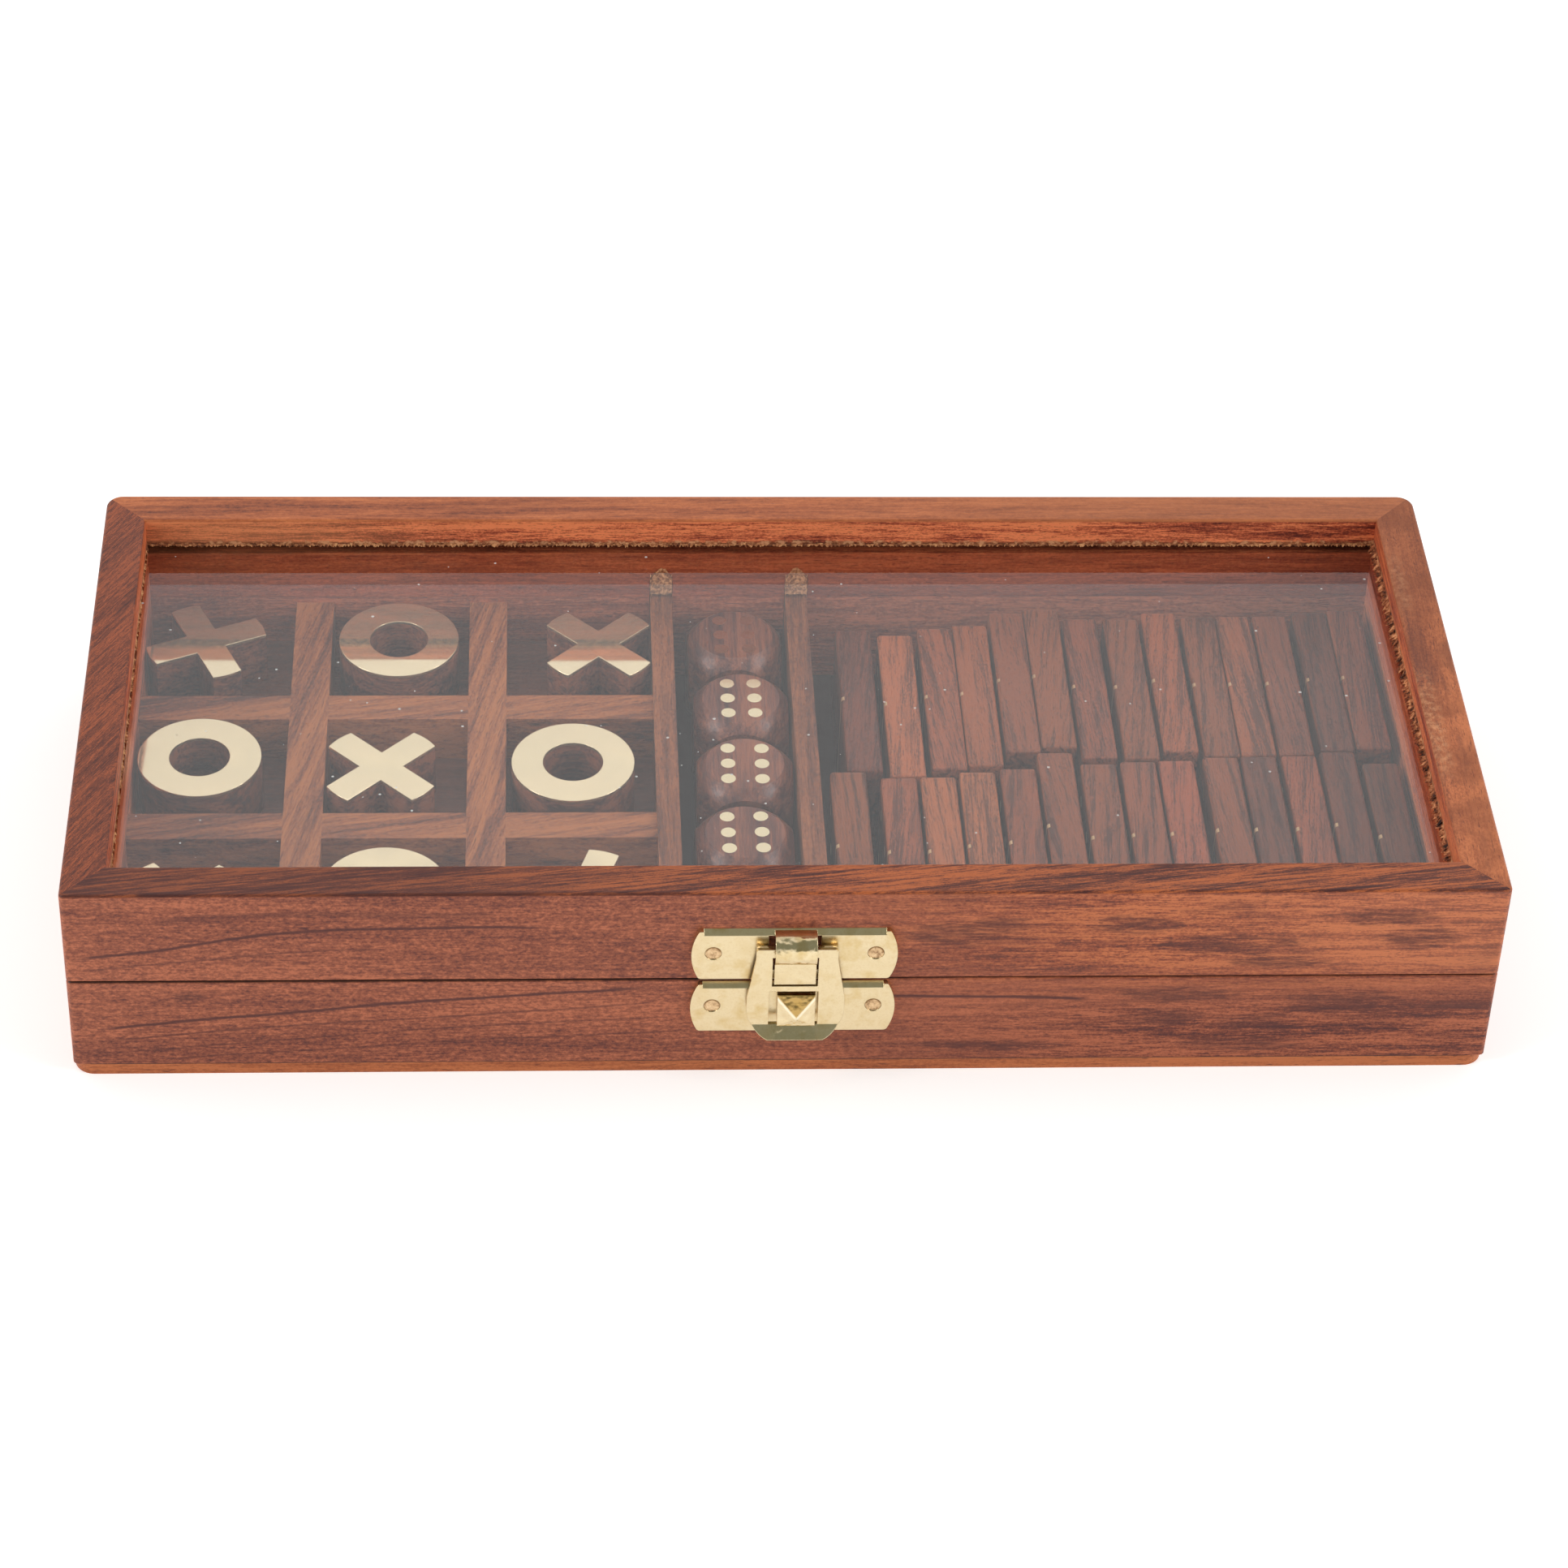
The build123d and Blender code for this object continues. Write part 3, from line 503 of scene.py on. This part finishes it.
# Four screen colours of wood, and which of them each domino of a row has, from the left.
UMBER, BROWN, TAWNY, COPPER = (118, 68, 50), (144, 84, 59), (162, 93, 64), (178, 107, 73)
BACK_TILES = (
    UMBER, COPPER, TAWNY, TAWNY, BROWN, BROWN, BROWN,
    BROWN, TAWNY, BROWN, TAWNY, BROWN, UMBER, BROWN,
)
FRONT_TILES = (
    BROWN, TAWNY, COPPER, COPPER, BROWN, BROWN, BROWN,
    BROWN, TAWNY, BROWN, UMBER, TAWNY, UMBER, UMBER,
)


def left_sides(row):
    """Where each domino of a row begins, from the left, in millimetres."""
    domino_thickness, least_gap = 5.4, 0.05
    starts = []
    for corner in sorted(vertex.co.x / MM for vertex in nodes[row].data.vertices):
        if not starts or corner > starts[-1] + domino_thickness + least_gap:
            starts.append(corner)
    return starts


def tiles(name, row, woods, seed):
    """Dominoes in a row: each from another board, with its own tone and slant of grain."""
    look = Look(name)
    here = look.here()
    span, half_gap = 100, 0.25
    shade = (0.86, 0.76, 0.66)
    along = look.math("DIVIDE", look.parts(here)[0], span * MM)
    places = [(left - half_gap) / span for left in left_sides(row)]
    chance = random.Random(seed)
    boards, shifts = [], []
    for tone in woods:
        vary = [0.95 + 0.1 * chance.random() for _ in shade]
        boards.append([a * b * v for a, b, v in zip(vary, shade, srgb(*tone))] + [1.0])
    for _ in woods:
        shifts.append((chance.random(), chance.random(), chance.random(), 1.0))
    colour = look.stairs(along, *zip(places, boards))
    shift = look.stairs(along, *zip(places, shifts))
    slant = look.times(look.minus(look.add("SeparateColor", {0: shift}), 0.5), 0.3)
    space = look.add("VectorRotate", {"Vector": here, "Angle": slant}, rotation_type="Z_AXIS")
    space = turned(look, look.vector("ADD", space, shift), (0, 0, -90))
    lively = dict(broad=1.1, streak=2.0, fibre=2.2, speck=1.8, pores=1.0, cloud=0.4)
    grain, height = wood_colour(look, space, GREY, seed, bend=2.0, fine=1.4, **lively)
    colour = look.mix(1.0, colour, grain, "MULTIPLY")
    return look.surface(colour, 0.42, height, GRAIN_BUMP)


dress(front_board(), "base_front_wall", "lid_front_rail")
dress(back_rail(), "lid_back_rail")
dress(right_rail(), "lid_right_rail")
dress(left_rail(), "lid_left_rail")
back_wall = wood("base_back_rosewood", RED, seed=BACK_SEED, broad=0.5, streak=0.5)
dress(back_wall, "base_back_wall")
side_wall = wood("base_side_rosewood", TAN, (0, 0, -90), seed=SIDE_SEED)
dress(side_wall, "base_left_wall", "base_right_wall")
dress(bottom_board(), "bottom_panel")
divider = wood("divider_wood", DIVIDER, (0, 0, -90), seed=51, broad=0.5, streak=0.8)
dress(divider, "divider_left", "divider_right")
grid_floor = wood("floor_wood", DUSK, seed=61, broad=0.3, streak=0.4, fibre=0.5, pores=0.2)
dress(grid_floor, "grid_floor_board")
long_strip = wood("rail_wood", RAIL, (0, 0, -78), seed=71, broad=0.9, streak=1.2)
dress(long_strip, "grid_rail_left", "grid_rail_right")
cross_strip = wood("cross_strip_wood", RAIL, (0, 0, -12), seed=81)
dress(cross_strip, "grid_cross_front", "grid_cross_back")
marks = [name.removesuffix("_body") for name in nodes if name.endswith("_body")]
dress(wood("mark_wood", PLUM, seed=91), *[mark + "_body" for mark in marks])
dice = ["die_%d" % n for n in range(1, 6)]
dice_grain = dict(broad=0.5, streak=0.9, speck=0.4, pores=0.3)
dress(wood("dice_wood", PLUM, (0, 0, -90), seed=101, roughness=0.3, **dice_grain), *dice)
for row, woods, seed in (("back", BACK_TILES, 111), ("front", FRONT_TILES, 131)):
    solids = "dominoes_" + row + "_row"
    dress(tiles(row + "_domino_wood", solids, woods, seed), solids)


# ------------------------------------------------------------------ brass, steel and glass
def brass(name, roughness, tone, grime=0.3, dome=None, scuff=0.04, metal=1.0):
    """Brass or steel with faint scratches; dome is the middle of a polished face that bulges."""
    look = Look(name)
    space = look.here()
    cloud = look.flecks(space, 220.0)
    dull = srgb(*[0.86 * v for v in tone])
    colour = look.mix(look.times(cloud, grime), srgb(*tone), dull)
    gloss = look.line(cloud, 0.08, roughness)
    if dome is None:
        scratch = look.flecks(space, 3200.0, 2.0)
        return look.surface(colour, gloss, scratch, scuff, metal)
    away = look.vector("SUBTRACT", space, (dome[0], dome[1], 0))
    bend = look.vector("MULTIPLY", away, (-1.2, 6.6, 0))
    facing = look.add("NewGeometry", out="Normal")
    normal = look.vector("NORMALIZE", look.vector("ADD", facing, bend))
    return look.surface(colour, gloss, metal=metal, rounding=0.2, normal=normal)


def stamped_brass():
    """The catch: satin sheet, crumpled where the tongue and the knob are drawn out of it."""
    look = Look("stamped_brass")
    space = look.here()
    x, y, z = look.parts(space)
    cloud = look.flecks(space, 260.0, 3.0, 0.6)
    mottle = look.flecks(space, 2600.0, 3.0, 0.7)
    khaki, pale, straw = srgb(214, 188, 136), srgb(228, 209, 170), srgb(222, 200, 156)
    colour = look.ramp(cloud, (0.3, khaki), (0.5, pale), (0.7, straw))
    worn = look.times(look.fade(mottle, 0.5, 0.68), 0.2)
    colour = look.mix(worn, colour, srgb(196, 164, 108))
    drawn = look.step(look.away(x, 0.9 * MM), 3.4, 2.4)
    drawn = look.times(drawn, look.step(y, -49.4, -50.2))
    # The knob's two upper ridges rise from its middle; the hollow face lies above them. The hollow
    # face gets painted shade in a darker gold, and the ridges get a painted highlight.
    knob_x, ridge_foot, ridge_slope = 1.1, 13.2, 1.1
    across = look.away(x, knob_x * MM)
    over = look.minus(z, look.line(across, ridge_slope, ridge_foot * MM))
    knob = look.times(look.step(across, 2.8, 2.6), look.step(y, -49.9, -50.0))
    knob = look.times(knob, look.step(z, 17.4, 17.2))
    hollow_shade = look.times(look.step(over, 0.1, 0.5), knob)
    # Painted shade: the hollow face above the ridges is darkened to a deep gold.
    colour = look.mix(look.times(hollow_shade, 0.8), colour, srgb(178, 138, 62))
    ridge_highlight = look.times(look.step(look.size(over), 0.5, 0.0), knob)
    # Painted highlight: a near-white band along the ridges.
    colour = look.mix(look.times(ridge_highlight, 0.7), colour, srgb(255, 248, 222))
    dent = look.minus(look.flecks(space, 420.0, 2.0), 0.5)
    rise = look.times(dent, look.line(drawn, 5.0, 0.5))
    rise = look.plus(rise, look.times(mottle, 0.12))
    gloss = look.line(drawn, -0.12, 0.28)
    return look.surface(colour, gloss, rise, 1.0, metal=1.0, rounding=0.16)


def catch_nails():
    """Flat heads sunk a little in the plates, with a crescent of painted shade in the dish above
    each head.
    """
    look = Look("catch_nail_steel")
    space = look.here()
    x, _, z = look.parts(space)
    mottle = look.flecks(space, 1500.0, 3.0, 0.7)
    brown, tan, pale = srgb(150, 116, 84), srgb(214, 180, 138), srgb(234, 204, 162)
    colour = look.ramp(mottle, (0.32, brown), (0.5, tan), (0.7, pale))
    plate_middle, nail_offset, nail_heights = 0.7, 11.5, (23.2, 13.3)
    across = look.minus(look.away(x, plate_middle * MM), nail_offset * MM)
    # Painted shade: a dark ring on the upper side of each head, where the dish round it lies in
    # shade.
    dish_shade = 0.0
    for height in nail_heights:
        up = look.minus(z, height * MM)
        away = look.plus(look.times(across, across), look.times(up, up))
        away = look.math("SQRT", away)
        ring = look.times(look.step(away, 0.75, 1.02), look.step(away, 1.6, 1.3))
        dish_shade = look.larger(look.times(ring, look.step(up, -0.3, 0.6)), dish_shade)
    colour = look.mix(look.times(dish_shade, 0.85), colour, srgb(112, 78, 34))
    return look.surface(colour, 0.4, mottle, 0.4, metal=1.0)


def glass():
    """Clear pane that lets shadow rays through, with specks of dust on its upper face."""
    look = Look("pane_glass")
    clear = look.add(
        "BsdfPrincipled",
        {"Base Color": (1, 1, 1, 1), "Roughness": 0.0, "IOR": 1.5, "Transmission Weight": 1.0},
    )
    through = look.add("BsdfTransparent", {"Color": (0.92, 0.93, 0.92, 1)})
    shadow = look.add("LightPath", out="Is Shadow Ray")
    pane = look.add("MixShader", {0: shadow, 1: clear, 2: through})
    here = look.here()
    speck = look.add("TexVoronoi", {"Vector": here, "Scale": 430.0})
    rare = look.parts(speck.node.outputs["Color"])[0]
    radius = look.add("MapRange", {0: rare, 1: 0.55, 2: 1.0, 3: 0.0, 4: 0.1})
    upper = look.step(look.parts(here)[2], 28.3, 28.38)
    dusty = look.times(look.math("LESS_THAN", speck, radius), upper)
    dust = look.add("BsdfDiffuse", {"Color": (0.75, 0.74, 0.72, 1)})
    look.finish(look.add("MixShader", {0: look.times(dusty, 0.7), 1: pane, 2: dust}))
    return look.material


for mark in marks:
    low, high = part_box(mark + "_face")
    middle = [(a + b) / 2 for a, b in zip(low, high)]
    dress(brass(mark + "_brass", 0.03, (238, 220, 184), dome=middle, metal=0.87), mark + "_face")
dress(brass("pip_brass", 0.14, (240, 224, 186)), *[die + "_pips" for die in dice])
inlays = brass("inlay_brass", 0.4, (208, 176, 134))
dress(inlays, "dominoes_back_inlays", "dominoes_front_inlays")
catch = stamped_brass()
dress(catch, "catch_lid_plate", "catch_flap", "catch_base_plate")
dress(brass("hinge_brass", 0.22, (226, 200, 140)), "hinge_base_leaves", "hinge_lid_leaves")
steel = brass("nail_steel", 0.34, (206, 184, 168), 0.6, scuff=0.2)
dress(steel, "hinge_base_nails", "hinge_lid_nails", "hinge_pins")
dress(catch_nails(), "catch_lid_nails", "catch_base_nails")
dress(glass(), "glass_pane")


# ------------------------------------------------------------------ torn wood and the hem
def new_piece(name, corners, faces, material):
    """An object of its own; its corners are in metres."""
    mesh = bpy.data.meshes.new(name)
    mesh.from_pydata(corners, [], faces)
    mesh.materials.append(material)
    piece = bpy.data.objects.new(name, mesh)
    bpy.context.scene.collection.objects.link(piece)
    return piece


def splinter_wood(name, scale, dark, middle, light):
    """Bare fibres, flecked from dark to pale."""
    look = Look(name)
    fleck = look.flecks(look.here(), scale, 3.0, 0.7)
    colour = look.ramp(fleck, (0.36, srgb(*dark)), (0.5, srgb(*middle)), (0.64, srgb(*light)))
    return look.surface(colour, 0.8, fleck, 0.5)


SPLINTER = splinter_wood("splinter_wood", 1300.0, (96, 54, 34), (170, 108, 70), (214, 156, 108))
TORN = splinter_wood("torn_wood", 900.0, (44, 22, 14), (150, 82, 48), (216, 146, 100))
RAW = splinter_wood("raw_wood", 1900.0, (116, 80, 56), (174, 124, 88), (214, 162, 118))


def splinters(name, spots, body, seed, reach=(0.05, 0.5), material=SPLINTER):
    """Slivers torn by the saw, pointing down, each with a place, the ways along the edge and out
    of the wood, a length and a width; reach is how far the tips may lean out of the wood."""
    chance = random.Random(seed)
    corners, faces = [], []
    for place, along, out, length, width in spots:
        place, along, out = Vector(place), Vector(along), Vector(out)
        inward = -0.35 * out
        tip = place + Vector((0, 0, -length)) + out * chance.uniform(*reach)
        tip += along * chance.uniform(-0.5, 0.5) * length
        left, right = place - along * width / 2, place + along * width / 2
        base = (left, right, right + inward, left + inward)
        first = len(corners)
        corners += [corner * MM for corner in (*base, tip)]
        sides = ((0, 1, 4), (1, 2, 4), (2, 3, 4), (3, 0, 4), (3, 2, 1, 0))
        faces += [tuple(first + n for n in side) for side in sides]
    piece = new_piece(name, corners, faces, material)
    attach(piece, body)


def edge_spots(start, end, out, seed, longest, spacing=0.33):
    """Splinters set along an edge of the kerf, in tufts."""
    chance = random.Random(seed)
    start, end = Vector(start), Vector(end)
    along = (end - start).normalized()
    spot, tuft, spots = 0.3, 0.5, []
    while spot < (end - start).length:
        tuft = min(1.0, max(0.15, tuft + chance.uniform(-0.22, 0.22)))
        length = 0.2 + longest * tuft * chance.uniform(0.2, 1.0)
        place = start + along * spot + Vector((0, 0, 0.75 * length))
        spots.append((place, along, out, length, chance.uniform(0.5, 1.2)))
        spot += spacing * chance.uniform(0.4, 1.6)
    return spots


back = edge_spots((-95.4, 41.05, LIP), (95.2, 41.05, LIP), (0, -1, 0), 1, 0.7)
splinters("kerf_splinters_back", back, "lid", 11)
front = edge_spots((-95.4, -41.25, LIP), (95.2, -41.25, LIP), (0, 1, 0), 2, 0.7)
splinters("kerf_splinters_front", front, "lid", 12)
left = edge_spots((-95.8, -40.8, LIP), (-95.8, 40.6, LIP), (1, 0, 0), 3, 0.7)
splinters("kerf_splinters_left", left, "lid", 13)
right = edge_spots((95.5, -40.8, LIP), (95.5, 40.6, LIP), (-1, 0, 0), 4, 1.5, 0.16)
splinters("kerf_splinters_right", right, "lid", 14, (0.25, 1.15), TORN)


def torn_plug(name, middle, seed):
    """Broken fibres at the end of a divider groove, in the lid's back rail: a rough, round-headed
    patch a little proud of the rail."""
    chance = random.Random(seed)
    columns, rows = 11, 14
    half_width, foot, crown, fall, front_y = 1.7, 18.1, 23.3, 2.2, 40.78
    corners, faces = [], []
    for row in range(rows):
        for column in range(columns):
            across = half_width * (2 * column / (columns - 1) - 1)
            top = crown - fall * (abs(across) / half_width) ** 1.8 + chance.uniform(-0.35, 0.35)
            height = foot + (top - foot) * row / (rows - 1)
            depth = front_y + 0.2 * chance.random()
            corners.append(Vector((middle + across, depth, height)) * MM)
    for row in range(rows - 1):
        for column in range(columns - 1):
            first = row * columns + column
            faces.append((first, first + 1, first + columns + 1, first + columns))
    piece = new_piece(name, corners, faces, RAW)
    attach(piece, "lid")


torn_plug("groove_fibres_left", GROOVES[0], 21)
torn_plug("groove_fibres_right", GROOVES[1], 22)
groove = []
for middle in GROOVES:
    for side in (-1, 1):
        for n in range(5):
            place = (middle + side * 1.6, 40.95, 18.6 + 0.8 * n)
            groove.append((place, (side * 0.6, 0, 0.8), (0, -1, 0), 0.5, 0.4))
splinters("groove_splinters", groove, "lid", 15, material=RAW)


def flap_hem():
    """The flap's top edge rolled back into a hem on each side of the tongue."""
    steps, radius = 14, 0.5
    middle_y, middle_z = -49.07, 24.58
    sides = ((-4.75, -2.25), (3.95, 6.75))
    corners, faces = [], []
    for ends in sides:
        first = len(corners)
        for x in ends:
            for n in range(steps):
                turn = 2 * math.pi * n / steps
                y, z = middle_y + radius * math.cos(turn), middle_z + radius * math.sin(turn)
                corners.append(Vector((x, y, z)) * MM)
        for n in range(steps):
            after = (n + 1) % steps
            faces.append((first + n, first + after, first + steps + after, first + steps + n))
        faces.append(tuple(range(first + steps - 1, first - 1, -1)))
        faces.append(tuple(range(first + steps, first + 2 * steps)))
    piece = new_piece("flap_hem", corners, faces, catch)
    piece.data.shade_smooth()
    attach(piece, "flap")


flap_hem()


# ------------------------------------------------------------------ stage, lights, camera
def floor():
    """A large white floor that glows a little and keeps the box's shadow."""
    look = Look("floor_white")
    lit = look.add("BsdfDiffuse", {"Color": (0.93, 0.93, 0.93, 1)})
    paths = look.add("LightPath").node.outputs
    seen = look.larger(paths["Is Camera Ray"], paths["Is Transmission Ray"])
    seen = look.larger(seen, paths["Is Glossy Ray"])
    glow = look.add("Emission", {"Color": (1, 1, 1, 1), "Strength": look.times(seen, 0.38)})
    look.finish(look.add("AddShader", {0: lit, 1: glow}))
    reach = 6.0
    corners = [(-reach, -reach, 0), (reach, -reach, 0), (reach, reach, 0), (-reach, reach, 0)]
    plane = new_piece("floor", corners, [(0, 1, 2, 3)], look.material)


def world():
    """White to the camera and in reflections; a pale room in all other light. Reflections and
    light alike find it dimmer above and behind the camera."""
    sky = bpy.data.worlds.new("studio")
    bpy.context.scene.world = sky
    sky.use_nodes = True
    look = Look("studio", sky.node_tree)
    direction = look.add("TexCoord", out="Generated")
    _, y, z = look.parts(direction)
    dim = look.fade(look.line(y, -0.65, look.times(z, 0.75)), 0.62, 0.86)
    room = look.mix(dim, (0.92, 0.92, 0.92, 1), (0.26, 0.28, 0.24, 1))
    paths = look.add("LightPath").node.outputs
    seen = look.larger(paths["Is Camera Ray"], paths["Is Transmission Ray"])
    mirrored = look.times(paths["Is Glossy Ray"], look.minus(1.0, dim))
    colour = look.mix(look.larger(seen, mirrored), room, (1, 1, 1, 1))
    background = look.add("Background", {"Color": colour, "Strength": 1.0})
    look.add("OutputWorld", {"Surface": background})


def lamp(name, place, target, size, power):
    """A soft box aimed at a point."""
    data = bpy.data.lights.new(name, "AREA")
    data.shape = "RECTANGLE"
    data.size, data.size_y = size
    data.energy = power
    obj = bpy.data.objects.new(name, data)
    obj.location = place
    obj.rotation_euler = (Vector(target) - Vector(place)).to_track_quat("-Z", "Y").to_euler()
    bpy.context.scene.collection.objects.link(obj)


def camera():
    """The photograph's camera: a long lens, looking down at 39 degrees."""
    data = bpy.data.cameras.new("camera")
    data.sensor_width = data.sensor_height = 36.0
    data.lens = 102.37
    data.clip_start, data.clip_end = 0.01, 100
    obj = bpy.data.objects.new("camera", data)
    down, yaw, roll = math.radians(39.29), math.radians(-4.0), math.radians(2.36)
    turn = Matrix.Rotation(yaw, 3, "Z")
    ahead = turn @ Vector((0, math.cos(down), -math.sin(down)))
    up = turn @ Vector((0, math.sin(down), math.cos(down)))
    side = turn @ Vector((1, 0, 0))
    cos, sin = math.cos(roll), math.sin(roll)
    side, up = cos * side + sin * up, cos * up - sin * side
    axes = Matrix((side, up, -ahead)).transposed()
    place = Matrix.Translation((-0.03472, -0.51911, 0.44009))
    obj.matrix_world = place @ axes.to_4x4()
    bpy.context.scene.collection.objects.link(obj)
    bpy.context.scene.camera = obj


floor()
world()
lamp("soft_left", (-1.05, -0.4, 0.75), (0, 0, 0), (0.45, 0.45), 4.2)
lamp("soft_right", (1.05, -0.4, 0.75), (0, 0, 0), (0.45, 0.45), 4.2)
camera()
bpy.context.scene.view_settings.view_transform = "Standard"
